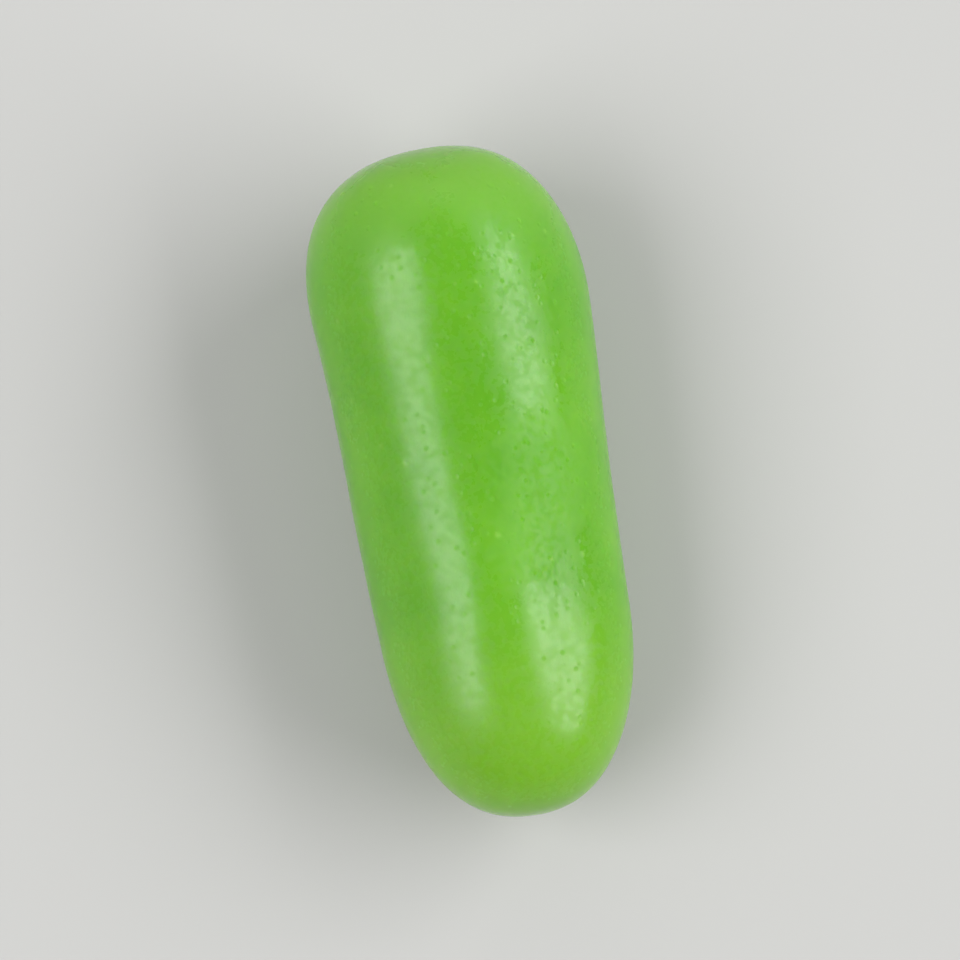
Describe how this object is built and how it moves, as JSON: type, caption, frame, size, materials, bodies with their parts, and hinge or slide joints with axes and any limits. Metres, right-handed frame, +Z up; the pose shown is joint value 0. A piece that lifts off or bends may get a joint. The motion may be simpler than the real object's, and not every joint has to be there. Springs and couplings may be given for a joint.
{
  "type": "chewy fruit candy",
  "caption": "One green chewy fruit candy: a glossy sugar-panned jelly capsule, a little broader at one end, lying on its side.",
  "frame": {"origin": "on the resting surface, under the middle of the candy", "axes": "+X along the candy towards its narrow end, +Z up from the resting surface, +Y to the right as seen in the picture"},
  "size_m": [0.023, 0.0096, 0.0088],
  "materials": {
    "candy_shell": "glossy"
  },
  "bodies": {
    "root": {"candy": "candy_shell"}
  },
  "joints": []
}
